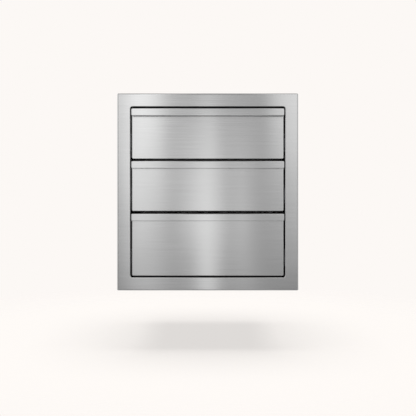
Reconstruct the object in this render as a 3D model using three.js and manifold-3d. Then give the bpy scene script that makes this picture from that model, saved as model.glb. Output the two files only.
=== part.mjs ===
// Built-in stack of three drawers for an outdoor kitchen island, in brushed stainless sheet.
// A trim frame covers the edge of the cut-out. Behind it a sheet housing carries three drawers, each on a pair
// of full-extension ball-bearing slides, and each with a folded lip handle over its front.
// Lengths are millimetres. X runs across the front, Y from front to back and Z up.
// Y = 0 is the face of the island, on which the trim's bearing strips lie. The origin is the middle of the
// bottom bearing strip.
import * as THREE from "three";
import { mergeVertices } from "three/addons/utils/BufferGeometryUtils.js";
import Module from "manifold-3d";

const wasm = await Module();
wasm.setup();

// Trim frame
const frameWidth = 482.6;
const frameHeight = 524.9;
const frameBorder = 35;
const frameProud = 14;
const frameSheet = 1.2;
const frameEdgeBend = 2.6;
const frameCornerRadius = 3.2;
const mouthBend = 2;
const mouthCornerRadius = 6;
const returnReach = 22;
const bearingStrip = 12;

// Housing
const housingSheet = 1;
const housingBend = 1.5;
const housingBehindRails = 24;
const housingLap = 15;
const housingRearFlange = 12;
const wallScrewHole = 2.8;
const wallScrewDepth = 12;

// Drawer fronts and their gaps in the frame's mouth
const gapTop = 6;
const gapBetween = 6;
const gapBottom = 4.2;
const gapSide = 4.3;
const upperFrontHeight = 133.2;
const frontRecess = 1;
const frontSheet = 1.2;
const frontDepth = 20;
const frontBend = 2;
const frontCornerRadius = 3.6;
const linerSheet = 1;
const linerBend = 1.5;
const linerFlange = 10;

// Lip handles
const handleSheet = 1.2;
const handleBend = 1.6;
const handleReach = 22;
const handleDrop = 19.4;
const handleHem = 7;
const handleSeat = 17;

// Drawer boxes
const tubSheet = 1;
const tubBend = 1.2;
const tubLift = 12;
const tubShortOfRails = 13.7;
const tubBelowTop = 28;
const hemThickness = 1;
const hemHeight = 8;
const tubBackFlange = 12;

// Slides. Across one slide, s counts from the housing wall towards the drawer.
const slideWidth = 12.7;
const slideHeight = 45.5;
const railLength = 450;
const railSheet = 1.2;
const railBend = 1.4;
const railSetback = 4;
const railLift = 44;
const cabinetRailDepth = 11;
const middleRailDepth = 8.9;
const raceGap = 3.5;
const ballRadius = 1.5;
const ballsInRow = 4;
const cageSheet = 0.5;
const cageBend = 0.6;
const cageLength = 200;
const cageEndMargin = 14;
const cageLegPastBall = 2.2;
const outerBallInset = 6.5;
const innerBallInset = 8;
const drawerRailClearance = 0.7;
const slideScrewRadius = 3.6;
const slideScrewRise = 1.6;
const slideScrewShares = [0.08, 0.5, 0.92];
const screwCrownShare = 0.6;

// Release levers, one in each drawer rail
const leverLength = 60;
const leverEyeRadius = 4.6;
const leverTipRadius = 3.2;
const leverPinRadius = 2;
const leverPinClearance = 0.3;
const leverFaceInset = 0.8;
const pinProud = 0.5;
const leverPivotShare = 0.5;

// Gap between faces that rest on each other, and the overrun of cuts and joins
const seatGap = 0.3;
const overrun = 2;

// Facets: steps on a bend, steps on a corner, sides of a pin or hole, sides of a screw head
const bendSteps = 3;
const cornerSteps = 3;
const pinSides = 12;
const headSides = 6;

// Places that several pieces share
const mouthHalf = frameWidth / 2 - frameBorder;
const frameFront = -frameProud;
const frameBottom = -bearingStrip / 2;
const frameTop = frameBottom + frameHeight;
const mouthBottom = frameBottom + frameBorder;
const mouthTop = frameTop - frameBorder;
const housingHalf = mouthHalf + frameSheet + seatGap;
const housingFloor = mouthBottom - frameSheet - seatGap;
const housingCeiling = mouthTop + frameSheet + seatGap;
const housingLapHalf = housingHalf + housingSheet + seatGap + housingSheet;
const frontHalf = mouthHalf - gapSide;
const frontFace = frameFront + frontRecess;
const frontBack = frontFace + frontDepth;
const slideWall = housingHalf - seatGap;
const railFront = returnReach + railSetback;
const railBack = railFront + railLength;
const housingDepth = railBack + housingBehindRails;
const tubHalf = slideWall - slideWidth - seatGap;
const tubFront = frontBack + seatGap;
const tubEnd = railBack - tubShortOfRails;
const tubBackPlane = tubEnd - tubBackFlange;

// Depth of each member of a slide, counted from the wall, and its half height
const outerCageInset = railSheet + seatGap + cageSheet / 2;
const middleWebInset = outerCageInset + cageSheet / 2 + seatGap + railSheet / 2;
const innerCageInset = middleWebInset + railSheet / 2 + seatGap + cageSheet / 2;
const drawerRailInset = innerCageInset + cageSheet / 2 + drawerRailClearance;
const drawerWebInset = slideWidth - railSheet / 2;
const cabinetRailHalf = slideHeight / 2;
const middleRailHalf = cabinetRailHalf - railSheet - raceGap;
const drawerRailHalf = middleRailHalf - railSheet - raceGap;
const leverInset = drawerRailInset + leverFaceInset;
const leverPivot = railFront + railLength * leverPivotShare;

const lowerFrontHeight = mouthTop - mouthBottom - gapTop - gapBottom - 2 * gapBetween - 2 * upperFrontHeight;
const lowestFront = mouthBottom + gapBottom;
const middleFront = lowestFront + lowerFrontHeight + gapBetween;
const highestFront = middleFront + upperFrontHeight + gapBetween;
const levels = [
  { level: "top", base: highestFront, height: upperFrontHeight },
  { level: "middle", base: middleFront, height: upperFrontHeight },
  { level: "bottom", base: lowestFront, height: lowerFrontHeight },
];
const sides = [
  { side: "left", sign: -1 },
  { side: "right", sign: 1 },
];

// Finishes
const finishes = {
  brushed: { color: 0xc6c6c7, roughness: 0.34, metalness: 1 },
  milled: { color: 0xb4b5b7, roughness: 0.42, metalness: 1 },
  zinc: { color: 0xa9adb2, roughness: 0.38, metalness: 1 },
  nylon: { color: 0x17181a, roughness: 0.55, metalness: 0 },
};

const axisX = new THREE.Vector3(1, 0, 0);
const axisY = new THREE.Vector3(0, 1, 0);
const axisZ = new THREE.Vector3(0, 0, 1);
const point = (x, y) => new THREE.Vector2(x, y);

// Closed geometry to solid, and back again
function solid(geometry) {
  const bare = geometry.clone();
  bare.deleteAttribute("normal");
  bare.deleteAttribute("uv");
  const merged = mergeVertices(bare);
  const vertProperties = new Float32Array(merged.attributes.position.array);
  const triVerts = new Uint32Array(merged.index.array);
  return new wasm.Manifold(new wasm.Mesh({ numProp: 3, vertProperties, triVerts }));
}

function geometryOf(made) {
  const { vertProperties, triVerts } = made.getMesh();
  const shared = new THREE.BufferGeometry();
  shared.setAttribute("position", new THREE.BufferAttribute(new Float32Array(vertProperties), 3));
  shared.setIndex(new THREE.BufferAttribute(new Uint32Array(triVerts), 1));
  const flat = shared.toNonIndexed();
  flat.computeVertexNormals();
  return flat;
}

const join = (pieces) => pieces.reduce((whole, piece) => whole.add(piece));
const cut = (whole, pieces) => pieces.reduce((rest, piece) => rest.subtract(piece), whole);

// Box between two corners
function block(low, high) {
  const size = new THREE.Vector3().subVectors(high, low);
  const middle = new THREE.Vector3().addVectors(low, high).multiplyScalar(1 / 2);
  return new THREE.BoxGeometry(size.x, size.y, size.z).translate(middle.x, middle.y, middle.z);
}

// Outlines drawn as (y, z), (x, z) and (x, y), extruded along the axis that is left
function extrude(shape, length, basis) {
  const made = new THREE.ExtrudeGeometry(shape, { depth: length, bevelEnabled: false });
  return made.applyMatrix4(new THREE.Matrix4().makeBasis(...basis));
}

function alongX(shape, start, end) {
  return extrude(shape, end - start, [axisY, axisZ, axisX]).translate(start, 0, 0);
}

function alongY(shape, start, end) {
  return extrude(shape, end - start, [axisX, axisZ, axisY.clone().negate()]).translate(0, end, 0);
}

function alongZ(shape, start, end) {
  return extrude(shape, end - start, [axisX, axisY, axisZ]).translate(0, 0, start);
}

// Centre line of straight runs with an arc at each corner, as places with their headings
function bentPath(corners, bendRadius) {
  const path = [];
  const heading = (i) => corners[i + 1].clone().sub(corners[i]).normalize();
  path.push({ at: corners[0], along: heading(0) });
  for (let i = 1; i < corners.length - 1; i += 1) {
    const before = heading(i - 1);
    const after = heading(i);
    const turn = Math.atan2(before.cross(after), before.dot(after));
    const setback = bendRadius * Math.tan(Math.abs(turn) / 2);
    const start = corners[i].clone().addScaledVector(before, -setback);
    const inward = point(-before.y, before.x).multiplyScalar(Math.sign(turn) * bendRadius);
    const centre = start.clone().add(inward);
    for (let k = 0; k <= bendSteps; k += 1) {
      const angle = (turn * k) / bendSteps;
      const along = before.clone().rotateAround(point(0, 0), angle);
      path.push({ at: start.clone().rotateAround(centre, angle), along });
    }
  }
  path.push({ at: corners[corners.length - 1], along: heading(corners.length - 2) });
  return path;
}

// Outline of a sheet of even thickness bent along such a centre line
function bentSheet(corners, thickness, bendRadius) {
  const path = bentPath(corners, bendRadius);
  const beside = (reach) =>
    path.map(({ at, along }) => point(-along.y, along.x).multiplyScalar(reach).add(at));
  return new THREE.Shape([...beside(thickness / 2), ...beside(-thickness / 2).reverse()]);
}

// Rectangle with round corners in a plane of equal y, grown by a margin on every side
function roundedRing(rect, grow, y) {
  const radius = rect.radius + grow;
  const ring = [];
  const centres = [
    [rect.half - rect.radius, rect.bottom + rect.radius],
    [rect.half - rect.radius, rect.top - rect.radius],
    [rect.radius - rect.half, rect.top - rect.radius],
    [rect.radius - rect.half, rect.bottom + rect.radius],
  ];
  centres.forEach(([x, z], quarter) => {
    for (let k = 0; k <= cornerSteps; k += 1) {
      const angle = (Math.PI / 2) * (quarter - 1 + k / cornerSteps);
      ring.push(new THREE.Vector3(x + radius * Math.cos(angle), y, z + radius * Math.sin(angle)));
    }
  });
  return ring;
}

// Solid through a row of such rings, from front to back
function loft(rect, stations) {
  const rings = stations.map(({ grow, y }) => roundedRing(rect, grow, y));
  const count = rings[0].length;
  const positions = rings.flat().flatMap((place) => place.toArray());
  const faces = [];
  for (let k = 1; k < count - 1; k += 1) {
    const last = (rings.length - 1) * count;
    faces.push(0, k, k + 1);
    faces.push(last, last + k + 1, last + k);
  }
  for (let r = 0; r < rings.length - 1; r += 1) {
    for (let k = 0; k < count; k += 1) {
      const a = r * count + k;
      const b = r * count + ((k + 1) % count);
      faces.push(a, a + count, b + count);
      faces.push(a, b + count, b);
    }
  }
  const geometry = new THREE.BufferGeometry();
  geometry.setAttribute("position", new THREE.Float32BufferAttribute(positions, 3));
  geometry.setIndex(faces);
  return geometry;
}

// Block whose front edge is rounded, as sheet is where it folds back
function foldedBlock(rect, front, back, bend) {
  const stations = [];
  for (let k = 0; k <= bendSteps; k += 1) {
    const angle = ((Math.PI / 2) * k) / bendSteps;
    stations.push({ grow: -bend * (1 - Math.sin(angle)), y: front + bend * (1 - Math.cos(angle)) });
  }
  stations.push({ grow: 0, y: back });
  return loft(rect, stations);
}

// Plug that flares towards the front, as a mouth does where its edge folds back
function flaredPlug(rect, front, back, bend, lead) {
  const stations = lead > 0 ? [{ grow: bend, y: front - lead }] : [];
  for (let k = 0; k <= bendSteps; k += 1) {
    const angle = ((Math.PI / 2) * k) / bendSteps;
    stations.push({ grow: bend * (1 - Math.sin(angle)), y: front + bend * (1 - Math.cos(angle)) });
  }
  stations.push({ grow: 0, y: back });
  return loft(rect, stations);
}

const grown = (rect, margin) => ({
  half: rect.half + margin,
  bottom: rect.bottom - margin,
  top: rect.top + margin,
  radius: rect.radius + margin,
});

// Round bar across the object
function barAlongX(start, end, y, z, radius) {
  const bar = new THREE.CylinderGeometry(radius, radius, Math.abs(end - start), pinSides);
  return bar.rotateZ(Math.PI / 2).translate((start + end) / 2, y, z);
}

// Low pan head that stands out of the plane x = face, towards the sign
function headAlongX(face, sign, y, z) {
  const crown = slideScrewRadius * screwCrownShare;
  const profile = [
    point(0, -housingSheet / 2),
    point(slideScrewRadius, -housingSheet / 2),
    point(slideScrewRadius, slideScrewRise / 2),
    point(crown, slideScrewRise),
    point(0, slideScrewRise),
  ];
  const head = new THREE.LatheGeometry(profile, headSides);
  return head.rotateZ((-sign * Math.PI) / 2).translate(face, y, z);
}

const unit = new THREE.Group();
const materials = Object.fromEntries(
  Object.entries(finishes).map(([name, look]) => [name, new THREE.MeshStandardMaterial(look)]),
);

function place(name, shape, finish) {
  const geometry = shape.isBufferGeometry ? shape : geometryOf(shape);
  const mesh = new THREE.Mesh(geometry, materials[finish].clone());
  mesh.name = name;
  unit.add(mesh);
}

// Heights of the wall screws: between the slides, where a driver reaches past the open drawers
const wallScrewHeights = levels.map(({ base }) => base + railLift + slideHeight);
const wallScrewBars = wallScrewHeights.flatMap((z) =>
  sides.map(({ sign }) => {
    const start = sign * (mouthHalf - overrun);
    const end = sign * (housingLapHalf + overrun);
    return solid(barAlongX(start, end, wallScrewDepth, z, wallScrewHole));
  }),
);

// Trim frame: front plate, outer return with its bearing strip, and inner return round the mouth
function buildFrame() {
  const outline = { half: frameWidth / 2, bottom: frameBottom, top: frameTop, radius: frameCornerRadius };
  const mouth = { half: mouthHalf, bottom: mouthBottom, top: mouthTop, radius: mouthCornerRadius };
  const innerFace = frameFront + frameSheet;
  const skin = solid(foldedBlock(outline, frameFront, 0, frameEdgeBend));
  const inside = grown(outline, -frameSheet);
  const hollow = solid(foldedBlock(inside, innerFace, -frameSheet, frameEdgeBend - frameSheet));
  const behind = solid(
    block(
      new THREE.Vector3(bearingStrip - frameWidth / 2, -frameSheet - overrun, frameBottom + bearingStrip),
      new THREE.Vector3(frameWidth / 2 - bearingStrip, overrun, frameTop - bearingStrip),
    ),
  );
  const throat = solid(
    flaredPlug(grown(mouth, frameSheet), innerFace, returnReach, mouthBend - frameSheet, 0),
  );
  const opening = solid(flaredPlug(mouth, frameFront, returnReach + overrun, mouthBend, overrun));
  const folded = cut(skin, [hollow, behind]).add(throat);
  place("face_frame", cut(folded, [opening, ...wallScrewBars]), "brushed");
}

// Housing: side walls with a rear flange, top and bottom lapped over them, and a back whose flanges lie inside
function buildHousing() {
  const half = housingSheet / 2;
  const wallMargin = housingBend + housingSheet;
  sides.forEach(({ side, sign }) => {
    const wall = sign * (housingHalf + half);
    const outline = bentSheet(
      [
        point(wall, 0),
        point(wall, housingDepth - half),
        point(wall - sign * housingRearFlange, housingDepth - half),
      ],
      housingSheet,
      housingBend,
    );
    const low = housingFloor + wallMargin;
    const high = housingCeiling - wallMargin;
    const heads = levels.flatMap(({ base }) =>
      slideScrewShares.map((share) => {
        const y = railFront + railLength * share;
        return solid(headAlongX(sign * (housingHalf + housingSheet), sign, y, base + railLift));
      }),
    );
    const wallWithHeads = join([solid(alongZ(outline, low, high)), ...heads]);
    place(`housing_${side}_side`, cut(wallWithHeads, wallScrewBars), "milled");
  });
  const lap = housingLapHalf - half;
  const cap = (z, drop) => {
    const corners = [point(-lap, z + drop), point(-lap, z), point(lap, z), point(lap, z + drop)];
    return bentSheet(corners, housingSheet, housingBend);
  };
  const capEnd = housingDepth - housingBend;
  place("housing_top", alongY(cap(housingCeiling + half, -housingLap), 0, capEnd), "milled");
  place("housing_bottom", alongY(cap(housingFloor - half, housingLap), 0, capEnd), "milled");
  const rear = housingDepth + seatGap + half;
  const above = housingCeiling - seatGap - half;
  const below = housingFloor + seatGap + half;
  const backHalf = housingLapHalf - housingSheet - housingBend;
  const back = bentSheet(
    [
      point(rear - housingLap, above),
      point(rear, above),
      point(rear, below),
      point(rear - housingLap, below),
    ],
    housingSheet,
    housingBend,
  );
  place("housing_back", alongX(back, -backHalf, backHalf), "milled");
}

// Channel section of a rail: its web, and the two flanges that carry the ball tracks
function channel(sign, web, lip, halfHeight) {
  const x = (inset) => sign * (slideWall - inset);
  const flange = halfHeight - railSheet / 2;
  return (middle) =>
    bentSheet(
      [
        point(x(lip), middle + flange),
        point(x(web), middle + flange),
        point(x(web), middle - flange),
        point(x(lip), middle - flange),
      ],
      railSheet,
      railBend,
    );
}

// Ball cage: a bent strip with a row of balls in each leg
function cage(sign, middle, web, ballInset, ballHeight) {
  const x = (inset) => sign * (slideWall - inset);
  const legEnd = ballInset + cageLegPastBall;
  const strip = bentSheet(
    [
      point(x(legEnd), middle + ballHeight),
      point(x(web), middle + ballHeight),
      point(x(web), middle - ballHeight),
      point(x(legEnd), middle - ballHeight),
    ],
    cageSheet,
    cageBend,
  );
  const cageFront = railFront + (railLength - cageLength) / 2;
  const balls = [];
  const pitch = (cageLength - 2 * cageEndMargin) / (ballsInRow - 1);
  for (let k = 0; k < ballsInRow; k += 1) {
    for (const row of [-1, 1]) {
      const ball = new THREE.IcosahedronGeometry(ballRadius, 0);
      const y = cageFront + cageEndMargin + pitch * k;
      balls.push(solid(ball.translate(x(ballInset), y, middle + row * ballHeight)));
    }
  }
  return join([solid(alongY(strip, cageFront, cageFront + cageLength)), ...balls]);
}

// Lever outline: an eye round the pin and a tapering arm that reaches forward to a thumb tip
function leverOutline(middle) {
  const outline = [];
  const arc = (y, radius, from) => {
    for (let k = 0; k <= bendSteps * 2; k += 1) {
      const angle = from + (Math.PI * k) / (bendSteps * 2);
      outline.push(point(y + radius * Math.cos(angle), middle + radius * Math.sin(angle)));
    }
  };
  arc(leverPivot, leverEyeRadius, -Math.PI / 2);
  arc(leverPivot - leverLength, leverTipRadius, Math.PI / 2);
  return new THREE.Shape(outline);
}

function buildSlide(level, base, side, sign) {
  const middle = base + railLift;
  const name = (part) => `${level}_${side}_${part}`;
  const x = (inset) => sign * (slideWall - inset);
  const cabinetRail = channel(sign, railSheet / 2, cabinetRailDepth, cabinetRailHalf);
  const middleRailLip = middleWebInset + middleRailDepth - railSheet / 2;
  const middleRail = channel(sign, middleWebInset, middleRailLip, middleRailHalf);
  const drawerRail = channel(sign, drawerWebInset, drawerRailInset, drawerRailHalf);
  place(name("cabinet_rail"), alongY(cabinetRail(middle), railFront, railBack), "zinc");
  place(name("middle_rail"), alongY(middleRail(middle), railFront, railBack), "zinc");
  const outerBallHeight = cabinetRailHalf - railSheet - raceGap / 2;
  const innerBallHeight = middleRailHalf - railSheet - raceGap / 2;
  place(name("outer_ball_cage"), cage(sign, middle, outerCageInset, outerBallInset, outerBallHeight), "zinc");
  place(name("inner_ball_cage"), cage(sign, middle, innerCageInset, innerBallInset, innerBallHeight), "zinc");
  const pin = barAlongX(x(leverInset - pinProud), x(drawerWebInset), leverPivot, middle, leverPinRadius);
  const drawerRailBody = solid(alongY(drawerRail(middle), railFront, railBack));
  place(name("drawer_rail"), drawerRailBody.add(solid(pin)), "zinc");
  const leverEnds = [x(leverInset), x(slideWidth - railSheet - seatGap)];
  const arm = solid(alongX(leverOutline(middle), Math.min(...leverEnds), Math.max(...leverEnds)));
  const eyeRadius = leverPinRadius + leverPinClearance;
  const eye = solid(barAlongX(x(0), x(slideWidth), leverPivot, middle, eyeRadius));
  place(name("release_lever"), arm.subtract(eye), "nylon");
}

// Handle: a plate seated on the front's top return, folded down into a lip with a hemmed edge and closed ends
function buildHandle(level, top) {
  const half = handleSheet / 2;
  const lipFront = frontFace - handleReach;
  const lipBottom = top - handleDrop;
  const strip = bentSheet(
    [
      point(frontFace + handleSeat, top - half),
      point(lipFront + half, top - half),
      point(lipFront + half, lipBottom + half),
      point(lipFront + handleHem, lipBottom + half),
    ],
    handleSheet,
    handleBend,
  );
  const capEdge = bentPath(
    [
      point(frontFace - seatGap, top - half),
      point(lipFront + half, top - half),
      point(lipFront + half, lipBottom + half),
      point(frontFace - seatGap, lipBottom + half),
    ],
    handleBend,
  );
  const capOutline = new THREE.Shape(capEdge.map(({ at }) => at));
  const cap = (low, high) => solid(alongX(capOutline, low, high));
  const lip = solid(alongX(strip, -frontHalf, frontHalf));
  const ends = [cap(-frontHalf, handleSheet - frontHalf), cap(frontHalf - handleSheet, frontHalf)];
  place(`${level}_drawer_handle`, join([lip, ...ends]), "brushed");
}

// Front: a shallow pan of sheet with its returns, and a liner that closes the pan
function buildFront(level, base, top) {
  const outline = {
    half: frontHalf,
    bottom: base,
    top: top - handleSheet - seatGap,
    radius: frontCornerRadius,
  };
  const skin = solid(foldedBlock(outline, frontFace, frontBack, frontBend));
  const inside = grown(outline, -frontSheet);
  const innerFace = frontFace + frontSheet;
  const hollow = solid(foldedBlock(inside, innerFace, frontBack + overrun, frontBend - frontSheet));
  place(`${level}_drawer_front`, skin.subtract(hollow), "brushed");
  const linerHalf = frontHalf - frontCornerRadius;
  const plane = frontBack - linerSheet / 2;
  const high = inside.top - seatGap - linerSheet / 2;
  const low = inside.bottom + seatGap + linerSheet / 2;
  const liner = bentSheet(
    [
      point(plane - linerFlange, high),
      point(plane, high),
      point(plane, low),
      point(plane - linerFlange, low),
    ],
    linerSheet,
    linerBend,
  );
  place(`${level}_drawer_liner`, alongX(liner, -linerHalf, linerHalf), "milled");
}

// Box: floor and sides folded from one sheet with hemmed top edges, and a back between the sides
function buildTub(level, base, top) {
  const half = tubSheet / 2;
  const wall = tubHalf - half;
  const floor = base + tubLift + half;
  const rim = top - tubBelowTop;
  const wrap = bentSheet(
    [point(-wall, rim), point(-wall, floor), point(wall, floor), point(wall, rim)],
    tubSheet,
    tubBend,
  );
  const hems = sides.map(({ sign }) => {
    const edges = [sign * wall, sign * (tubHalf - tubSheet - hemThickness)];
    return solid(
      block(
        new THREE.Vector3(Math.min(...edges), tubFront, rim - hemHeight),
        new THREE.Vector3(Math.max(...edges), tubEnd, rim),
      ),
    );
  });
  place(`${level}_drawer_tub`, join([solid(alongY(wrap, tubFront, tubEnd)), ...hems]), "milled");
  const backWall = tubHalf - tubSheet - seatGap - half;
  const plane = tubBackPlane + half;
  const back = bentSheet(
    [
      point(-backWall, plane + tubBackFlange - half),
      point(-backWall, plane),
      point(backWall, plane),
      point(backWall, plane + tubBackFlange - half),
    ],
    tubSheet,
    tubBend,
  );
  const backLow = floor + half + tubBend;
  const backHigh = rim - hemHeight - seatGap;
  place(`${level}_drawer_back`, alongZ(back, backLow, backHigh), "milled");
}

buildFrame();
buildHousing();
for (const { level, base, height } of levels) {
  const top = base + height;
  buildFront(level, base, top);
  buildHandle(level, top);
  buildTub(level, base, top);
  sides.forEach(({ side, sign }) => buildSlide(level, base, side, sign));
}

export default unit;
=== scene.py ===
"""Looks of a built-in stack of three stainless drawers for an outdoor kitchen island.

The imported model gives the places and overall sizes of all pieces. Each sub-assembly is a class: it holds
the small sizes of its sheets, bends and screws, builds fine meshes in the place of the model's faceted
solids, and dresses them. All lengths are metres, written as millimetres times MM.
"""

import logging
import math
from collections.abc import Sequence
from dataclasses import dataclass, field
from enum import Enum

import bmesh
import bpy
from mathutils import Matrix, Vector


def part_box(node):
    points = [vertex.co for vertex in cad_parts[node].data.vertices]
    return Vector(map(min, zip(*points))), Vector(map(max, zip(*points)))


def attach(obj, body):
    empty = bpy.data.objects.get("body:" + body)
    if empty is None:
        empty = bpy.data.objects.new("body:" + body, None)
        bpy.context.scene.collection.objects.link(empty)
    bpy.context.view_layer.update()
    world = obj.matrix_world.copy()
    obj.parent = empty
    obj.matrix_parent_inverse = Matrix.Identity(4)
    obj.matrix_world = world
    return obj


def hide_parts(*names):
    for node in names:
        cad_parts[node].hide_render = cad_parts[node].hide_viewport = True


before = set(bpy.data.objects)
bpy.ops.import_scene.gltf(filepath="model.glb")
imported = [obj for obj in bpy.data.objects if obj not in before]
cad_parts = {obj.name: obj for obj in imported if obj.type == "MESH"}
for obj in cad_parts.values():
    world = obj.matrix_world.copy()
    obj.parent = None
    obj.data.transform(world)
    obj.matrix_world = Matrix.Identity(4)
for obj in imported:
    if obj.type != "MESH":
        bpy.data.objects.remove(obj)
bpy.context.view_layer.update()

log = logging.getLogger("drawer_unit")

MM = 0.001
# Least radius that a press brake leaves in thin stainless sheet.
TIGHTEST_BEND = 0.3 * MM
# Points nearer than this are one point, as where the two bends of a hem meet.
SAME_POINT = 0.001 * MM
# Flat strip beside a bend, before the skin closes over the middle.
FLAT_MARGIN = 1 * MM
# Width of a deburred cut edge.
DEBURRED = 0.15 * MM
DEBUR_STEPS = 2
BEND_STEPS = 6
CORNER_STEPS = 8
ROUND_SIDES = 24
SMOOTH_LIMIT = math.radians(32)
CUT_EDGE_LIMIT = math.radians(60)
# Part of a noise pattern's range that holds nearly all of its values.
PATTERN_RANGE = {"From Min": 0.3, "From Max": 0.7}
# A grain's direction off its own axis, so that no face of a piece lies square to it.
OFF_GRAIN = (0.011, 0.017, 0.013)
QUARTER_TURN = 0.25

Corner = tuple[float, float]
Shape = bmesh.types.BMesh
Tree = bpy.types.NodeTree
Node = bpy.types.Node
Socket = bpy.types.NodeSocket


class Run(Enum):
    """Axis that an outline is drawn out along, or that a sheet's grain follows."""

    ACROSS = 0
    DEPTH = 1
    HEIGHT = 2

    def place(self, u: float, v: float, along: float) -> Vector:
        """Puts an outline's point at a station along this axis.

        Args:
            u: First coordinate of the outline: y, x or x for the three axes.
            v: Second coordinate of the outline: z, z or y.
            along: Coordinate on the axis itself.

        Returns:
            The point in space.
        """
        point = [u, v]
        point.insert(self.value, along)
        return Vector(point)


class Side(Enum):
    """Side of the unit, with the sign of its x coordinate."""

    LEFT = -1
    RIGHT = 1

    @property
    def word(self) -> str:
        """Name of the side as the nodes have it."""
        return self.name.lower()


class Level(Enum):
    """The three drawers, from the top down."""

    TOP = "top"
    MIDDLE = "middle"
    BOTTOM = "bottom"

    @property
    def body(self) -> str:
        """Body that the drawer's pieces ride on."""
        return f"{self.value}_drawer"


def linear(colour: str) -> tuple[float, float, float, float]:
    """Turns an sRGB hex colour into linear values.

    Args:
        colour: Six hex digits after a hash.

    Returns:
        Linear red, green and blue, and full opacity.
    """
    shares = [int(colour[k : k + 2], 16) / 255 for k in (1, 3, 5)]
    red, green, blue = (s / 12.92 if s <= 0.04045 else ((s + 0.055) / 1.055) ** 2.4 for s in shares)
    return (red, green, blue, 1.0)


def add_node(tree: Tree, kind: str, inputs: dict | None = None, **settings: object) -> Node:
    """Adds one node with its settings, input values and incoming links.

    Args:
        tree: Node tree that gets the node.
        kind: Blender's name of the node type.
        inputs: Values, output sockets or nodes, by the name or number of the input. A node stands for
            its first output.
        **settings: Properties of the node.

    Returns:
        The new node.
    """
    node = tree.nodes.new(kind)
    for name, value in settings.items():
        setattr(node, name, value)
    for name, value in (inputs or {}).items():
        source = value.outputs[0] if isinstance(value, Node) else value
        if isinstance(source, Socket):
            tree.links.new(source, node.inputs[name])
        else:
            node.inputs[name].default_value = source
    return node


def blank_tree(owner: bpy.types.Material | bpy.types.World) -> Tree:
    """Gives a material or world an empty node tree.

    Args:
        owner: The material or world.

    Returns:
        The tree.
    """
    owner.use_nodes = True
    owner.node_tree.nodes.clear()
    return owner.node_tree


@dataclass(frozen=True)
class Finish:
    """What all finishes share: fine marks that tint the surface between two close shades."""

    name: str
    slot: str
    light: str
    dark: str
    roughness: float
    mark_size: float
    mark_depth: float
    detail: float

    def material(self) -> bpy.types.Material:
        """Builds the node tree.

        Returns:
            The material.
        """
        material = bpy.data.materials.new(self.name)
        tree = blank_tree(material)
        place = add_node(tree, "ShaderNodeTexCoord").outputs["Object"]
        scales = [1 / size for size in self.mark_sizes()]
        scaled = add_node(tree, "ShaderNodeVectorMath", {0: place, 1: scales}, operation="MULTIPLY")
        marks = add_node(tree, "ShaderNodeTexNoise", {"Vector": scaled, "Scale": 1.0, "Detail": self.detail})
        share = add_node(tree, "ShaderNodeMapRange", {"Value": marks, **PATTERN_RANGE})
        # The colours of a blend are its inputs 6 and 7, and the blended colour is its output 2.
        shades = {0: share, 6: linear(self.dark), 7: linear(self.light)}
        tint = add_node(tree, "ShaderNodeMix", shades, data_type="RGBA").outputs[2]
        bump = add_node(tree, "ShaderNodeBump", {"Height": marks, "Distance": self.mark_depth})
        inputs = {"Base Color": tint, "Normal": bump, **self.surface(tree, place, marks, bump)}
        shader = add_node(tree, "ShaderNodeBsdfPrincipled", inputs)
        add_node(tree, "ShaderNodeOutputMaterial", {"Surface": shader})
        return material

    def mark_sizes(self) -> list[float]:
        """Sizes of the marks along X, Y and Z."""
        return [self.mark_size] * 3

    def surface(self, tree: Tree, place: Socket, marks: Node, bump: Node) -> dict:
        """Inputs of the main shader besides its colour and normal. Each kind of finish has its own."""
        raise NotImplementedError


@dataclass(frozen=True, kw_only=True)
class SheetSteel(Finish):
    """Stainless sheet with a grain.

    The grain spreads reflections across itself and leaves them sharp along itself, which gives the eye
    soft upright bands on a sheet whose grain lies level.
    """

    detail: float = 3.0
    grain: Run
    anisotropy: float
    mark_length: float
    mark_swing: float = 0.008
    # Nine clouds to a metre.
    cloud_size: float = 1000 / 9 * MM
    cloud_detail: float = 2.0
    cloud_swing: float = 0.004
    wave_depth: float
    wave_length: float

    def mark_sizes(self) -> list[float]:
        """Sizes of the grain's lines along X, Y and Z."""
        return [self.mark_length if run is self.grain else self.mark_size for run in Run]

    def surface(self, tree: Tree, place: Socket, marks: Node, bump: Node) -> dict:
        """Adds the grain, the slow change of roughness and the waves of the sheet.

        Args:
            tree: Node tree of the material.
            place: Output that gives the place on the piece, in metres.
            marks: Pattern of the grain's lines.
            bump: Normal that the lines give.

        Returns:
            Values and nodes by the name of the input.
        """
        patterns = []
        for size, detail in ((self.cloud_size, self.cloud_detail), (self.wave_length, 0.0)):
            scales = {0: place, 1: [1 / size] * 3}
            scaled = add_node(tree, "ShaderNodeVectorMath", scales, operation="MULTIPLY")
            inputs = {"Vector": scaled, "Scale": 1.0, "Detail": detail}
            patterns.append(add_node(tree, "ShaderNodeTexNoise", inputs))
        clouds, waves = patterns
        rough: float | Node = self.roughness
        for pattern, swing in ((marks, self.mark_swing), (clouds, self.cloud_swing)):
            levels = {"Value": pattern, **PATTERN_RANGE, "To Min": -swing, "To Max": swing}
            change = add_node(tree, "ShaderNodeMapRange", levels)
            rough = add_node(tree, "ShaderNodeMath", {0: change, 1: rough}, operation="ADD")
        direction = [1.0 if run is self.grain else OFF_GRAIN[run.value] for run in Run]
        sheet = add_node(tree, "ShaderNodeBump", {"Height": waves, "Distance": self.wave_depth})
        tree.links.new(sheet.outputs[0], bump.inputs["Normal"])
        return {
            "Metallic": 1.0,
            "Roughness": rough,
            "Anisotropic": self.anisotropy,
            "Anisotropic Rotation": QUARTER_TURN,
            "Tangent": add_node(tree, "ShaderNodeCombineXYZ", dict(enumerate(direction))),
        }


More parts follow.
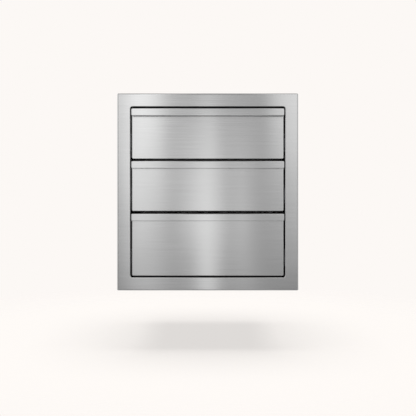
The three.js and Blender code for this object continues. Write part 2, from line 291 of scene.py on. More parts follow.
@dataclass(frozen=True)
class PlatedSteel(Finish):
    """Bright zinc on cold-rolled steel: a cool, slightly cloudy sheen with a faint straw tint."""

    mark_depth: float = 0.004 * MM
    detail: float = 4.0
    smoother: float = 0.02
    rougher: float = 0.03

    def surface(self, tree: Tree, place: Socket, marks: Node, bump: Node) -> dict:
        """Adds the metal, rougher where its clouds are light.

        Args:
            tree: Node tree of the material.
            place: Not used.
            marks: Pattern of the clouds.
            bump: Not used.

        Returns:
            Values and nodes by the name of the input.
        """
        levels = {"To Min": self.roughness - self.smoother, "To Max": self.roughness + self.rougher}
        rough = add_node(tree, "ShaderNodeMapRange", {"Value": marks, **PATTERN_RANGE, **levels})
        return {"Metallic": 1.0, "Roughness": rough}


@dataclass(frozen=True)
class MouldedNylon(Finish):
    """Glass-filled nylon, injection moulded with a fine spark-eroded texture: dull black, a little grainy."""

    mark_depth: float = 0.05 * MM
    detail: float = 2.0
    ior: float = 1.53

    def surface(self, tree: Tree, place: Socket, marks: Node, bump: Node) -> dict:
        """An even roughness, and the way nylon bends light. It needs none of the patterns."""
        return {"Roughness": self.roughness, "IOR": self.ior}


# No. 4 brushed 304 stainless, grain level: the trim, the fronts and the handles. The real grain lines are
# a tenth of a millimetre wide, too fine to show, so they are drawn about a millimetre wide.
BRUSHED = SheetSteel(
    name="brushed_stainless_304",
    slot="brushed_stainless",
    grain=Run.ACROSS,
    light="#cecece",
    dark="#c6c6c6",
    roughness=0.12,
    anisotropy=1.0,
    mark_size=1.1 * MM,
    mark_length=140 * MM,
    mark_depth=0.002 * MM,
    wave_depth=0.22 * MM,
    wave_length=130 * MM,
)
# 2B mill finish, as rolled: the housing. Greyer and softer than brushed, with faint roll lines, drawn
# coarser than the real ones so that they show.
MILLED = SheetSteel(
    name="mill_finish_stainless",
    slot="housing_stainless",
    grain=Run.DEPTH,
    light="#c6c6c7",
    dark="#bfc0c1",
    roughness=0.36,
    anisotropy=0.35,
    mark_size=2.2 * MM,
    mark_length=300 * MM,
    mark_depth=0.003 * MM,
    wave_depth=0.35 * MM,
    wave_length=160 * MM,
)
# The same sheet in the drawer boxes, satin from the deburring belt, its lines running front to back and
# drawn coarser than the real ones so that they show.
BOX_SHEET = SheetSteel(
    name="satin_drawer_stainless",
    slot="drawer_stainless",
    grain=Run.DEPTH,
    light="#cacaca",
    dark="#c1c1c2",
    roughness=0.31,
    anisotropy=0.7,
    mark_size=1.6 * MM,
    mark_length=160 * MM,
    mark_depth=0.003 * MM,
    wave_depth=0.35 * MM,
    wave_length=150 * MM,
)
# Zinc plate on the rails: bright and cool, with soft clouds of the plating bath.
ZINC = PlatedSteel(
    "bright_zinc_plate", "zinc_plate", "#c3c6ca", "#b8bbbf", roughness=0.30, mark_size=8 * MM
)
# Pressed strip of the cages, a duller zinc than the rails.
CAGE_STRIP = PlatedSteel(
    "dull_zinc_strip", "ball_cage", "#b9b6a6", "#aeab9c", roughness=0.42, mark_size=6 * MM
)
# Hardened and tumbled bearing balls: nearly a mirror.
BALL_STEEL = PlatedSteel(
    "tumbled_bearing_steel", "ball_cage", "#dcdcde", "#d6d7da", roughness=0.12, mark_size=8 * MM
)
# A2 stainless screws and rivets, cold headed and tumbled.
SCREW_STEEL = PlatedSteel(
    "cold_headed_stainless", "housing_stainless", "#cfcfce", "#c4c4c3", roughness=0.28, mark_size=3 * MM
)
# Black nylon of the levers, a shade lighter where its texture stands up.
NYLON = MouldedNylon(
    "moulded_black_nylon", "black_nylon", "#202224", "#141516", roughness=0.5, mark_size=0.5 * MM
)


def placed(name: str, data: bpy.types.ID, at: Sequence[float] = (0.0, 0.0, 0.0)) -> bpy.types.Object:
    """Puts an object in the scene.

    Args:
        name: Its name.
        data: Its mesh, light or camera.
        at: Its place.

    Returns:
        The object.
    """
    made = bpy.data.objects.new(name, data)
    made.location = at
    bpy.context.scene.collection.objects.link(made)
    return made


def meshed(shape: Shape, name: str) -> bpy.types.Mesh:
    """Turns a shape into a mesh.

    Args:
        shape: The shape, used up here.
        name: Name of the mesh.

    Returns:
        The mesh.
    """
    mesh = bpy.data.meshes.new(name)
    shape.to_mesh(mesh)
    shape.free()
    return mesh


def add_piece(
    name: str, shape: Shape, finish: Finish, body: str, stands_for: Sequence[str] = (), edge: float = 0.0
) -> None:
    """Makes a finished shape into an object that rides on its body.

    Args:
        name: Name of the piece.
        shape: Its shape, used up here.
        finish: Its finish.
        body: Body that it moves with.
        stands_for: Nodes of the model that it is shown in place of.
        edge: Width of the deburred cut edges, or 0 for none.
    """
    bmesh.ops.recalc_face_normals(shape, faces=shape.faces[:])
    mesh = meshed(shape, name)
    mesh.shade_smooth()
    mesh.set_sharp_from_angle(angle=SMOOTH_LIMIT)
    mesh.materials.append(bpy.data.materials.get(finish.name) or finish.material())
    made = placed(name, mesh)
    if edge > 0:
        rounding = made.modifiers.new("deburred", "BEVEL")
        rounding.width = edge
        rounding.segments = DEBUR_STEPS
        rounding.limit_method = "ANGLE"
        rounding.angle_limit = CUT_EDGE_LIMIT
    flats = made.modifiers.new("flats", "WEIGHTED_NORMAL")
    flats.keep_sharp = True
    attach(made, body)
    if stands_for:
        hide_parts(*stands_for)
    log.info("%s: %d faces, rides on %s", name, len(mesh.polygons), body)


def bent_line(corners: Sequence[Corner], radii: Sequence[float]) -> list[tuple[Vector, Vector]]:
    """Centre line of straight runs with an arc at each inner corner.

    Args:
        corners: Corners of the line, in the plane of the outline.
        radii: Bend radius at each inner corner.

    Returns:
        Points with their headings.
    """
    points = [Vector(corner) for corner in corners]
    line = [(points[0], (points[1] - points[0]).normalized())]
    for last, at, following, radius in zip(points, points[1:], points[2:], radii):
        before = (at - last).normalized()
        after = (following - at).normalized()
        turn = math.atan2(before.cross(after), before.dot(after))
        start = at - before * radius * math.tan(abs(turn) / 2)
        centre = start + Vector((-before.y, before.x)) * math.copysign(radius, turn)
        count = max(2, round(abs(turn) / (math.pi / 2) * BEND_STEPS))
        for k in range(count + 1):
            spin = Matrix.Rotation(turn * k / count, 2)
            point = centre + spin @ (start - centre)
            if (point - line[-1][0]).length > SAME_POINT:
                line.append((point, spin @ before))
    line.append((points[-1], (points[-1] - points[-2]).normalized()))
    return line


def sheet_outline(corners: Sequence[Corner], sheet: float, radii: float | Sequence[float]) -> list[Vector]:
    """Outline of a bent sheet of even thickness.

    Args:
        corners: Corners of its centre line.
        sheet: Thickness.
        radii: Bend radius of the centre line, one for all corners or one for each.

    Returns:
        Points round the outline.
    """
    if isinstance(radii, float):
        radii = [radii] * (len(corners) - 2)
    line = bent_line(corners, radii)
    left = [at + Vector((-along.y, along.x)) * sheet / 2 for at, along in line]
    right = [at - Vector((-along.y, along.x)) * sheet / 2 for at, along in line]
    return left + right[::-1]


def lofted(rings: Sequence[Sequence[Vector]], looped: bool = False) -> Shape:
    """Skins a row of rings.

    Args:
        rings: Rings with as many points each.
        looped: True to join the last ring to the first, False to cap both.

    Returns:
        The closed shape.
    """
    shape = bmesh.new()
    loops = [[shape.verts.new(point) for point in ring] for ring in rings]
    count = len(loops[0])
    pairs = list(zip(loops, loops[1:])) + ([(loops[-1], loops[0])] if looped else [])
    for near, far in pairs:
        for k in range(count):
            beyond = (k + 1) % count
            shape.faces.new((near[k], near[beyond], far[beyond], far[k]))
    if not looped:
        shape.faces.new(loops[0][::-1])
        shape.faces.new(loops[-1])
    return shape


def drawn_out(outline: Sequence[Vector], run: Run, start: float, end: float) -> Shape:
    """Draws an outline out to a solid.

    Args:
        outline: Points round it.
        run: Axis it is drawn out along.
        start: First station on that axis.
        end: Last station.

    Returns:
        The closed shape.
    """
    return lofted([[run.place(point.x, point.y, station) for point in outline] for station in (start, end)])


def flanged(node: str, run: Run, plate: Run, sign: int, sheet: float, bend: float) -> Shape:
    """Bends a plate with two flanges that fills a node's box.

    Args:
        node: Node whose box it fills.
        run: Axis that the bends follow.
        plate: Axis that the plate stands square to.
        sign: 1 with the plate at the high end of that axis, -1 at the low end.
        sheet: Thickness.
        bend: Bend radius of the centre line.

    Returns:
        The closed shape.
    """
    low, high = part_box(node)
    across = 3 - run.value - plate.value
    closed, rim = (high, low) if sign > 0 else (low, high)
    ends = (rim[plate.value], closed[plate.value] - sign * sheet / 2)
    first, last = low[across] + sheet / 2, high[across] - sheet / 2
    corners = [(first, ends[0]), (first, ends[1]), (last, ends[1]), (last, ends[0])]
    if plate.value < across:
        corners = [corner[::-1] for corner in corners]
    return drawn_out(sheet_outline(corners, sheet, bend), run, low[run.value], high[run.value])


def box_shape(low: Sequence[float], high: Sequence[float]) -> Shape:
    """Makes a box between two corners.

    Args:
        low: Lowest corner.
        high: Highest corner.

    Returns:
        The closed shape.
    """
    around = ((low[0], low[1]), (high[0], low[1]), (high[0], high[1]), (low[0], high[1]))
    return drawn_out([Vector(corner) for corner in around], Run.HEIGHT, low[2], high[2])


def circle(radius: float, height: float = 0.0) -> list[Vector]:
    """Points round a circle on or over the plane of X and Y.

    Args:
        radius: Its radius.
        height: Its height over the plane.

    Returns:
        As many points for any radius.
    """
    turns = [2 * math.pi * k / ROUND_SIDES for k in range(ROUND_SIDES)]
    return [Vector((radius * math.cos(turn), radius * math.sin(turn), height)) for turn in turns]


def bar(outline: Sequence[Vector], centre: Vector, length: float) -> Shape:
    """Makes a bar that lies across the unit.

    Args:
        outline: Outline of its section, round the bar's axis.
        centre: Middle of the bar.
        length: Its length.

    Returns:
        The closed shape.
    """
    shape = drawn_out(outline, Run.ACROSS, -length / 2, length / 2)
    bmesh.ops.translate(shape, verts=shape.verts[:], vec=centre)
    return shape


def oblong(ends: Sequence[tuple[float, float, float]], steps: int) -> list[Vector]:
    """Outline of a bar with round ends that lies from front to back.

    Args:
        ends: Depth, height and radius of the rear end, then of the front end.
        steps: Steps of each round end.

    Returns:
        Points round the outline.
    """
    outline = []
    for (depth, height, radius), start in zip(ends, (-0.5, 0.5)):
        for k in range(steps + 1):
            turn = math.pi * (start + k / steps)
            outline.append(Vector((depth + radius * math.cos(turn), height + radius * math.sin(turn))))
    return outline


def domed(radius: float, rise: float, rim: float = 0.0) -> Shape:
    """Makes a round head with a domed crown, on the plane of X and Y.

    Args:
        radius: Its radius.
        rise: Height of its crown.
        rim: Height of the upright rim under the crown.

    Returns:
        The closed shape.
    """
    rings = [circle(radius)] + ([circle(radius, rim)] if rim > 0 else [])
    for k in range(1, BEND_STEPS + 1):
        turn = math.pi / 2 * k / (BEND_STEPS + 1)
        rings.append(circle(radius * math.cos(turn), rim + (rise - rim) * math.sin(turn)))
    return lofted(rings)


def stood(shape: Shape, foot: Vector, outward: Vector) -> Shape:
    """Stands a head on a face.

    Args:
        shape: Head on the plane of X and Y, moved here.
        foot: Foot of its axis.
        outward: Direction in which it stands out.

    Returns:
        The same shape.
    """
    stand = Matrix.Translation(foot) @ outward.to_track_quat("Z", "Y").to_matrix().to_4x4()
    bmesh.ops.transform(shape, matrix=stand, verts=shape.verts[:])
    return shape


def on_rail(node: str, share: float, x: float) -> Vector:
    """Point at a rail's middle height.

    Args:
        node: Node of the rail.
        share: Place along it, as a share of its length from the front.
        x: Place across the unit.

    Returns:
        The point.
    """
    low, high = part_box(node)
    return Vector((x, low.y + (high.y - low.y) * share, (low.z + high.z) / 2))


def joined(shapes: Sequence[Shape]) -> Shape:
    """Gathers several shapes in one.

    Args:
        shapes: Shapes, used up here.

    Returns:
        One shape that holds them all.
    """
    whole = bmesh.new()
    for shape in shapes:
        carrier = meshed(shape, "carrier")
        whole.from_mesh(carrier)
        bpy.data.meshes.remove(carrier)
    return whole


def cut_away(shape: Shape, cutters: Sequence[Shape]) -> Shape:
    """Takes cutters out of a solid.

    Args:
        shape: Solid to cut, used up here.
        cutters: Closed shapes that don't touch each other, used up here.

    Returns:
        What is left of the solid.
    """
    carriers = []
    for made in (shape, joined(cutters)):
        bmesh.ops.recalc_face_normals(made, faces=made.faces[:])
        carriers.append(placed("carrier", meshed(made, "carrier")))
    work = carriers[0].modifiers.new("cut", "BOOLEAN")
    work.operation = "DIFFERENCE"
    work.solver = "EXACT"
    work.object = carriers[1]
    evaluated = carriers[0].evaluated_get(bpy.context.evaluated_depsgraph_get())
    rest = bmesh.new()
    rest.from_mesh(evaluated.to_mesh())
    evaluated.to_mesh_clear()
    for carrier in carriers:
        bpy.data.meshes.remove(carrier.data)
    return rest


@dataclass(frozen=True)
class Rect:
    """Rectangle with round corners, seen from the front."""

    half: float
    bottom: float
    top: float
    corner: float

    def ring(self, grow: float, y: float) -> list[Vector]:
        """Points round the rectangle, grown by a margin.

        Args:
            grow: Margin on all sides, below zero to shrink.
            y: Depth of the ring.

        Returns:
            As many points for any margin.
        """
        radius = max(self.corner + grow, TIGHTEST_BEND)
        inset = radius - grow
        points = []
        for quarter, (sx, sz) in enumerate(((1, -1), (1, 1), (-1, 1), (-1, -1))):
            x = sx * (self.half - inset)
            z = self.top - inset if sz > 0 else self.bottom + inset
            for k in range(CORNER_STEPS + 1):
                turn = (quarter - 1 + k / CORNER_STEPS) * math.pi / 2
                points.append(Vector((x + radius * math.cos(turn), y, z + radius * math.sin(turn))))
        return points

    def bent(
        self, radius: float, from_side: bool, grow: float, face: float, inward: int = -1, back: int = 1
    ) -> list[list[Vector]]:
        """Rings of a quarter bend between a face and a side.

        Args:
            radius: Radius of the bend.
            from_side: True to run from the side to the face, False to run the other way.
            grow: Margin of the side.
            face: Depth of the face.
            inward: -1 where the side goes round the face, 1 where the face goes round the side.
            back: 1 where the side runs back from the face, -1 where it runs forward.

        Returns:
            The rings in order.
        """
        turns = [math.pi / 2 * k / BEND_STEPS for k in range(BEND_STEPS + 1)]
        steps = [(radius * (1 - math.cos(t)), radius * (1 - math.sin(t))) for t in turns]
        rings = [self.ring(grow + inward * aside, face + back * depth) for aside, depth in steps]
        return rings if from_side else rings[::-1]


def pan(node: str, corner: float, bend: float, sheet: float) -> Shape:
    """Shallow pan of sheet that fills a node's box and is open at the back.

    Args:
        node: Node whose box it fills.
        corner: Radius of its outline's corners.
        bend: Outer radius between face and sides.
        sheet: Thickness of the sheet.

    Returns:
        The closed shape, skinned from the middle of the face round the rear edge to the inner face.
    """
    low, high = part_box(node)
    rect = Rect(high.x, low.z, high.z, corner)
    rings = [rect.ring(-bend - FLAT_MARGIN, low.y)]
    rings += rect.bent(bend, False, 0.0, low.y)
    rings += [rect.ring(0.0, high.y), rect.ring(-sheet, high.y)]
    rings += rect.bent(max(bend - sheet, TIGHTEST_BEND), True, -sheet, low.y + sheet)
    rings.append(rect.ring(-bend - FLAT_MARGIN, low.y + sheet))
    return lofted(rings)


@dataclass
class FaceFrame:
    """Trim frame, folded from one brushed sheet, with a return round its mouth and a bearing strip behind."""

    hole_heights: Sequence[float]
    sheet: float = 1.2 * MM
    border: float = 35 * MM
    edge_bend: float = 3.2 * MM
    corner: float = 3.2 * MM
    strip_bend: float = 1.5 * MM
    mouth_bend: float = 1.25 * MM
    mouth_corner: float = 6 * MM
    bearing_strip: float = 12 * MM
    hole_radius: float = 2.8 * MM
    hole_depth: float = 12 * MM
    # Length of a hole's cutter, as a share of the sheet.
    cutter_share: float = 4.0

    def build(self) -> None:
        """Builds the frame with the holes for its wall screws."""
        low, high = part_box("face_frame")
        outline = Rect(high.x, low.z, high.z, self.corner)
        mouth = Rect(high.x - self.border, low.z + self.border, high.z - self.border, self.mouth_corner)
        front, rear, inner = low.y, high.y, low.y + self.sheet
        rings = [outline.ring(-self.bearing_strip, 0.0)]
        rings += outline.bent(self.strip_bend, False, 0.0, 0.0, back=-1)
        rings += outline.bent(self.edge_bend, True, 0.0, front)
        rings.append(outline.ring(-self.edge_bend - FLAT_MARGIN, front))
        rings.append(mouth.ring(self.mouth_bend + FLAT_MARGIN, front))
        rings += mouth.bent(self.mouth_bend, False, 0.0, front, inward=1)
        rings += [mouth.ring(0.0, rear), mouth.ring(self.sheet, rear)]
        tight = max(self.mouth_bend - self.sheet, TIGHTEST_BEND)
        rings += mouth.bent(tight, True, self.sheet, inner, inward=1)
        rings += outline.bent(self.edge_bend - self.sheet, False, -self.sheet, inner)
        rings += outline.bent(self.strip_bend - self.sheet, True, -self.sheet, -self.sheet, back=-1)
        rings.append(outline.ring(-self.bearing_strip, -self.sheet))
        holes = []
        for height in self.hole_heights:
            for side in Side:
                centre = Vector((side.value * (mouth.half + self.sheet / 2), self.hole_depth, height))
                holes.append(bar(circle(self.hole_radius), centre, self.cutter_share * self.sheet))
        shape = cut_away(lofted(rings, looped=True), holes)
        add_piece("trim_frame", shape, BRUSHED, "cabinet", ["face_frame"])


@dataclass
class DrawerFront:
    """Shallow brushed pan of a drawer's face, and the liner that closes it behind."""

    level: Level
    sheet: float = 1.2 * MM
    bend: float = 1.25 * MM
    corner: float = 3.6 * MM
    liner_sheet: float = 1 * MM
    liner_bend: float = 1.5 * MM

    def build(self) -> None:
        """Builds the pan and the liner."""
        word, body = self.level.value, self.level.body
        node = f"{body}_front"
        add_piece(f"{word}_front_pan", pan(node, self.corner, self.bend, self.sheet), BRUSHED, body, [node])
        node = f"{body}_liner"
        liner = flanged(node, Run.ACROSS, Run.DEPTH, 1, self.liner_sheet, self.liner_bend)
        add_piece(f"{word}_front_liner", liner, BOX_SHEET, body, [node], DEBURRED)


@dataclass
class LipHandle:
    """Handle over the front's top edge: a plate folded down into a lip, with a hem and closed ends."""

    level: Level
    sheet: float = 1.2 * MM
    bend: float = 1.3 * MM
    corner: float = 3 * MM
    hem: float = 7 * MM
    clearance: float = 0.3 * MM
    overcut: float = 5 * MM

    def build(self) -> None:
        """Builds the handle as a pan, cut open below and behind its lip."""
        node = f"{self.level.body}_handle"
        low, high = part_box(node)
        front_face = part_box(f"{self.level.body}_front")[0].y
        wide = high.x - self.sheet
        open_below = box_shape(
            (-wide, low.y + self.hem, low.z - self.overcut),
            (wide, front_face - self.clearance - self.sheet, high.z - self.sheet - self.corner),
        )
        open_behind = box_shape(
            (low.x - self.overcut, front_face - self.clearance, low.z - self.overcut),
            (high.x + self.overcut, high.y + self.overcut, high.z - self.sheet),
        )
        shape = cut_away(pan(node, self.corner, self.bend, self.sheet), [open_below])
        shape = cut_away(shape, [open_behind])
        add_piece(f"{self.level.value}_lip_handle", shape, BRUSHED, self.level.body, [node])


@dataclass
class ScrewHead:
    """Pan head with a cross recess."""

    radius: float = 3.6 * MM
    rise: float = 1.6 * MM
    rim: float = 0.48 * MM
    recess_reach: float = 1.9 * MM
    recess_width: float = 0.7 * MM
    recess_depth: float = 1.0 * MM

    def shape(self, foot: Vector, outward: Vector) -> Shape:
        """Builds one head.

        Args:
            foot: Foot of the screw's axis on the sheet.
            outward: Direction in which the head stands out.

        Returns:
            The closed shape.
        """
        reach, width = self.recess_reach, self.recess_width / 2
        cross = [
            Vector((u * x - v * y, u * y + v * x))
            for x, y in ((1, 0), (0, 1), (-1, 0), (0, -1))
            for u, v in ((reach, -width), (reach, width), (width, width))
        ]
        recess = drawn_out(cross, Run.HEIGHT, self.rise - self.recess_depth, 2 * self.rise)
        return stood(cut_away(domed(self.radius, self.rise, self.rim), [recess]), foot, outward)


@dataclass
class Housing:
    """Sheet housing behind the frame: two sides with rear flanges, a lapped top and bottom, and the back."""

    hole_heights: Sequence[float]
    sheet: float = 1 * MM
    bend: float = 1.5 * MM
    rear_flange: float = 12 * MM
    hole_radius: float = 2.8 * MM
    hole_depth: float = 12 * MM
    # Length of a hole's cutter, as a share of the sheet.
    cutter_share: float = 5.0
    rail_seat: float = 0.3 * MM
    screw: ScrewHead = field(default_factory=ScrewHead)
    screw_shares: tuple[float, float, float] = (0.08, 0.5, 0.92)

    def build(self) -> None:
        """Builds the five walls and the screws that hold the slides."""
        for side in Side:
            self.wall(side)
            self.screws(side)
        for word, node, run, plate, sign in (
            ("top", "housing_top", Run.DEPTH, Run.HEIGHT, 1),
            ("bottom", "housing_bottom", Run.DEPTH, Run.HEIGHT, -1),
            ("rear", "housing_back", Run.ACROSS, Run.DEPTH, 1),
        ):
            shape = flanged(node, run, plate, sign, self.sheet, self.bend)
            add_piece(f"{word}_housing_cap", shape, MILLED, "cabinet", [node], DEBURRED)

    def inner_face(self, side: Side) -> float:
        """Place across the unit of a wall's inner face, from the slide that is screwed to it."""
        low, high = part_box(f"top_{side.word}_cabinet_rail")
        return (high.x if side is Side.RIGHT else low.x) + side.value * self.rail_seat

    def wall(self, side: Side) -> None:
        """Builds a side wall.

        Args:
            side: Side of the unit.
        """
        node = f"housing_{side.word}_side"
        low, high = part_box(node)
        middle = self.inner_face(side) + side.value * self.sheet / 2
        rear = high.y - self.sheet / 2
        corners = [(middle, low.y), (middle, rear), (middle - side.value * self.rear_flange, rear)]
        shape = drawn_out(sheet_outline(corners, self.sheet, self.bend), Run.HEIGHT, low.z, high.z)
        holes = []
        for height in self.hole_heights:
            centre = Vector((middle, self.hole_depth, height))
            holes.append(bar(circle(self.hole_radius), centre, self.cutter_share * self.sheet))
        add_piece(f"{side.word}_housing_wall", cut_away(shape, holes), MILLED, "cabinet", [node], DEBURRED)

    def screws(self, side: Side) -> None:
        """Builds the screws that hold the slides to a wall.

        Args:
            side: Side of the unit.
        """
        x = self.inner_face(side) + side.value * self.sheet
        heads = []
        for level in Level:
            for share in self.screw_shares:
                foot = on_rail(f"{level.value}_{side.word}_cabinet_rail", share, x)
                heads.append(self.screw.shape(foot, Vector((side.value, 0, 0))))
        add_piece(f"{side.word}_slide_screws", joined(heads), SCREW_STEEL, "cabinet")


@dataclass
class DrawerBox:
    """Box of a drawer: floor and sides in one sheet with hemmed rims, a back, and rivets for the slides."""

    level: Level
    sheet: float = 1 * MM
    bend: float = 1.2 * MM
    hem: float = 8 * MM
    hem_spacing: float = 1.05 * MM
    rivet_shares: tuple[float, float, float] = (0.1, 0.5, 0.9)
    rivet_radius: float = 3.2 * MM
    rivet_rise: float = 1.0 * MM

    def build(self) -> None:
        """Builds the tub, the rivets and the back."""
        word, body = self.level.value, self.level.body
        node = f"{body}_tub"
        low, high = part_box(node)
        wall, floor, rim = high.x - self.sheet / 2, low.z + self.sheet / 2, high.z - self.sheet / 2
        fold_in = wall - self.hem_spacing
        right = [(wall, floor), (wall, rim), (fold_in, rim), (fold_in, high.z - self.hem)]
        corners = [(-x, z) for x, z in right[::-1]] + right
        tight = self.hem_spacing / 2
        outline = sheet_outline(corners, self.sheet, [tight, tight, self.bend, self.bend, tight, tight])
        tub = drawn_out(outline, Run.DEPTH, low.y, high.y)
        add_piece(f"{word}_box_tub", tub, BOX_SHEET, body, [node])
        self.rivets(wall - self.sheet / 2)
        node = f"{body}_back"
        back = flanged(node, Run.HEIGHT, Run.DEPTH, -1, self.sheet, self.bend)
        add_piece(f"{word}_box_back", back, BOX_SHEET, body, [node], DEBURRED)

    def rivets(self, inner: float) -> None:
        """Builds the rivets that hold the drawer rails, seen on the inner faces of the sides.

        Args:
            inner: Distance of those faces from the middle.
        """
        heads = []
        for side in Side:
            for share in self.rivet_shares:
                foot = on_rail(f"{self.level.value}_{side.word}_drawer_rail", share, side.value * inner)
                head = domed(self.rivet_radius, self.rivet_rise)
                heads.append(stood(head, foot, Vector((-side.value, 0, 0))))
        add_piece(f"{self.level.value}_slide_rivets", joined(heads), SCREW_STEEL, self.level.body)


@dataclass(frozen=True)
class Rail:
    """Member of a slide: which way its web faces, and where its race and its slots are.

    The race counts from the web as a share of the flange, the slots from the front as shares of the length.
    """

    part: str
    shown: str
    web_outside: bool
    race_share: float
    slot_shares: tuple[float, ...]
    round_holes: bool


CABINET_RAIL = Rail("cabinet_rail", "outer_rail", True, 0.6, (0.14, 0.3, 0.7, 0.84), True)
MIDDLE_RAIL = Rail("middle_rail", "centre_rail", True, 0.62, (0.06, 0.2, 0.5, 0.8), False)
DRAWER_RAIL = Rail("drawer_rail", "inner_rail", False, 0.5, (0.06, 0.24, 0.76, 0.94), True)


@dataclass
class Slide:
    """Full-extension ball-bearing slide: three rails, two ball cages and the release lever."""

    level: Level
    side: Side
    sheet: float = 1.2 * MM
    bend: float = 1.4 * MM
    race_dip: float = 0.45 * MM
    race_bend: float = 2.5 * MM
    cage_sheet: float = 0.5 * MM
    cage_bend: float = 0.6 * MM
    ball_radius: float = 1.6 * MM
    ball_subdivisions: int = 2
    balls_in_row: int = 10
    ball_margin: float = 10 * MM
    ball_from_leg_end: float = 2.2 * MM
    leg_below_top: float = 1.5 * MM
    slot_radius: float = 2.4 * MM
    slot_reach: float = 6 * MM
    hole_behind_slot: float = 16 * MM
    eye_radius: float = 4.6 * MM
    tip_radius: float = 3.2 * MM
    lever_edge: float = 0.5 * MM
    pin_radius: float = 2 * MM
    pin_clearance: float = 0.3 * MM
    pin_proud: float = 0.4 * MM
    # Lengths of the cutters for slots and eyes, as shares of the rail's width and the lever's thickness.
    slot_cutter_share: float = 2.0
    eye_cutter_share: float = 3.0

    def name(self, part: str) -> str:
        """Name of one of the slide's parts."""
        return f"{self.level.value}_{self.side.word}_{part}"

    def faces(self, part: str) -> tuple[float, float]:
        """Places across the unit of a part's outer face, by the wall, and of its inner face."""
        low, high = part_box(self.name(part))
        return (high.x, low.x) if self.side is Side.RIGHT else (low.x, high.x)

    def channel(self, rail: Rail) -> Shape:
        """Builds a rail: a channel whose flanges are rolled into ball races.

        Args:
            rail: The rail.

        Returns:
            The closed shape.
        """
        low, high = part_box(self.name(rail.part))
        web, lip = self.faces(rail.part) if rail.web_outside else self.faces(rail.part)[::-1]
        web += math.copysign(self.sheet / 2, lip - web)
        race = web + (lip - web) * rail.race_share
        middle, flange = (low.z + high.z) / 2, (high.z - low.z) / 2 - self.sheet / 2
        dipped = flange - self.race_dip
        upper = [(lip, middle + dipped), (race, middle + flange), (web, middle + dipped)]
        lower = [(web, middle - dipped), (race, middle - flange), (lip, middle - dipped)]
        radii = [self.race_bend, self.bend, self.bend, self.race_bend]
        return drawn_out(sheet_outline(upper + lower, self.sheet, radii), Run.DEPTH, low.y, high.y)

    def slots(self, rail: Rail) -> list[Shape]:
        """Builds the cutters for the screw slots and holes in a rail's web.

        Args:
            rail: The rail.

        Returns:
            The cutters.
        """
        outer, inner = self.faces(rail.part)
        length = self.slot_cutter_share * abs(outer - inner)
        ends = [(sign * self.slot_reach / 2, 0.0, self.slot_radius) for sign in (1, -1)]
        cutters = []
        for share in rail.slot_shares:
            centre = on_rail(self.name(rail.part), share, (outer + inner) / 2)
            cutters.append(bar(oblong(ends, CORNER_STEPS), centre, length))
            if rail.round_holes:
                hole = centre + Vector((0, self.hole_behind_slot, 0))
                cutters.append(bar(circle(self.slot_radius), hole, length))
        return cutters

    def pin(self) -> Shape:
        """Builds the pin of the release lever, which stands on the drawer rail's web.

        Returns:
            The closed shape.
        """
        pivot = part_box(self.name("release_lever"))[1].y - self.eye_radius
        head = self.faces("release_lever")[0] + self.side.value * self.pin_proud
        inner = self.faces("drawer_rail")[1]
        low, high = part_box(self.name("drawer_rail"))
        centre = Vector(((head + inner) / 2, pivot, (low.z + high.z) / 2))
        return bar(circle(self.pin_radius), centre, abs(head - inner) - self.sheet)

    def cage(self, part: str) -> None:
        """Builds a cage strip, whose web is on the wall's side, with its balls.

        Args:
            part: Name of the cage.
        """
        low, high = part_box(self.name(part))
        web, lip = self.faces(part)
        web += math.copysign(self.cage_sheet / 2, lip - web)
        ball_x = lip - math.copysign(self.ball_from_leg_end, lip - web)
        middle = (low.z + high.z) / 2
        leg = (high.z - low.z) / 2 - self.leg_below_top
        corners = [(lip, middle + leg), (web, middle + leg), (web, middle - leg), (lip, middle - leg)]
        outline = sheet_outline(corners, self.cage_sheet, self.cage_bend)
        strip = drawn_out(outline, Run.DEPTH, low.y, high.y)
        add_piece(self.name(f"{part}_strip"), strip, CAGE_STRIP, self.name(part), [self.name(part)])
        balls = bmesh.new()
        ball = {"subdivisions": self.ball_subdivisions, "radius": self.ball_radius}
        pitch = (high.y - low.y - 2 * self.ball_margin) / (self.balls_in_row - 1)
        for k in range(self.balls_in_row):
            for row in (-1, 1):
                at = Vector((ball_x, low.y + self.ball_margin + pitch * k, middle + row * leg))
                bmesh.ops.create_icosphere(balls, matrix=Matrix.Translation(at), **ball)
        add_piece(self.name(f"{part}_balls"), balls, BALL_STEEL, self.name(part))

    def lever(self) -> None:
        """Builds the release lever: an eye, a tapering arm and a thumb tip."""
        node = self.name("release_lever")
        low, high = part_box(node)
        middle = (low.z + high.z) / 2
        pivot, tip = high.y - self.eye_radius, low.y + self.tip_radius
        ends = [(pivot, middle, self.eye_radius), (tip, middle, self.tip_radius)]
        arm = drawn_out(oblong(ends, 2 * CORNER_STEPS), Run.ACROSS, low.x, high.x)
        centre = Vector(((low.x + high.x) / 2, pivot, middle))
        length = self.eye_cutter_share * (high.x - low.x)
        eye = bar(circle(self.pin_radius + self.pin_clearance), centre, length)
        add_piece(self.name("thumb_lever"), cut_away(arm, [eye]), NYLON, node, [node], self.lever_edge)

    def build(self) -> None:
        """Builds the whole slide."""
        for rail, body in (
            (CABINET_RAIL, "cabinet"),
            (MIDDLE_RAIL, self.name("middle_rail")),
            (DRAWER_RAIL, self.level.body),
        ):
            shape = cut_away(self.channel(rail), self.slots(rail))
            if rail is DRAWER_RAIL:
                shape = joined([shape, self.pin()])
            add_piece(self.name(rail.shown), shape, ZINC, body, [self.name(rail.part)])
        self.cage("outer_ball_cage")
        self.cage("inner_ball_cage")
        self.lever()


@dataclass(frozen=True)
class Glow:
    """Light that comes from one azimuth behind the camera: over, at and under the horizon."""

    degrees: float
    above: float
    level: float
    below: float


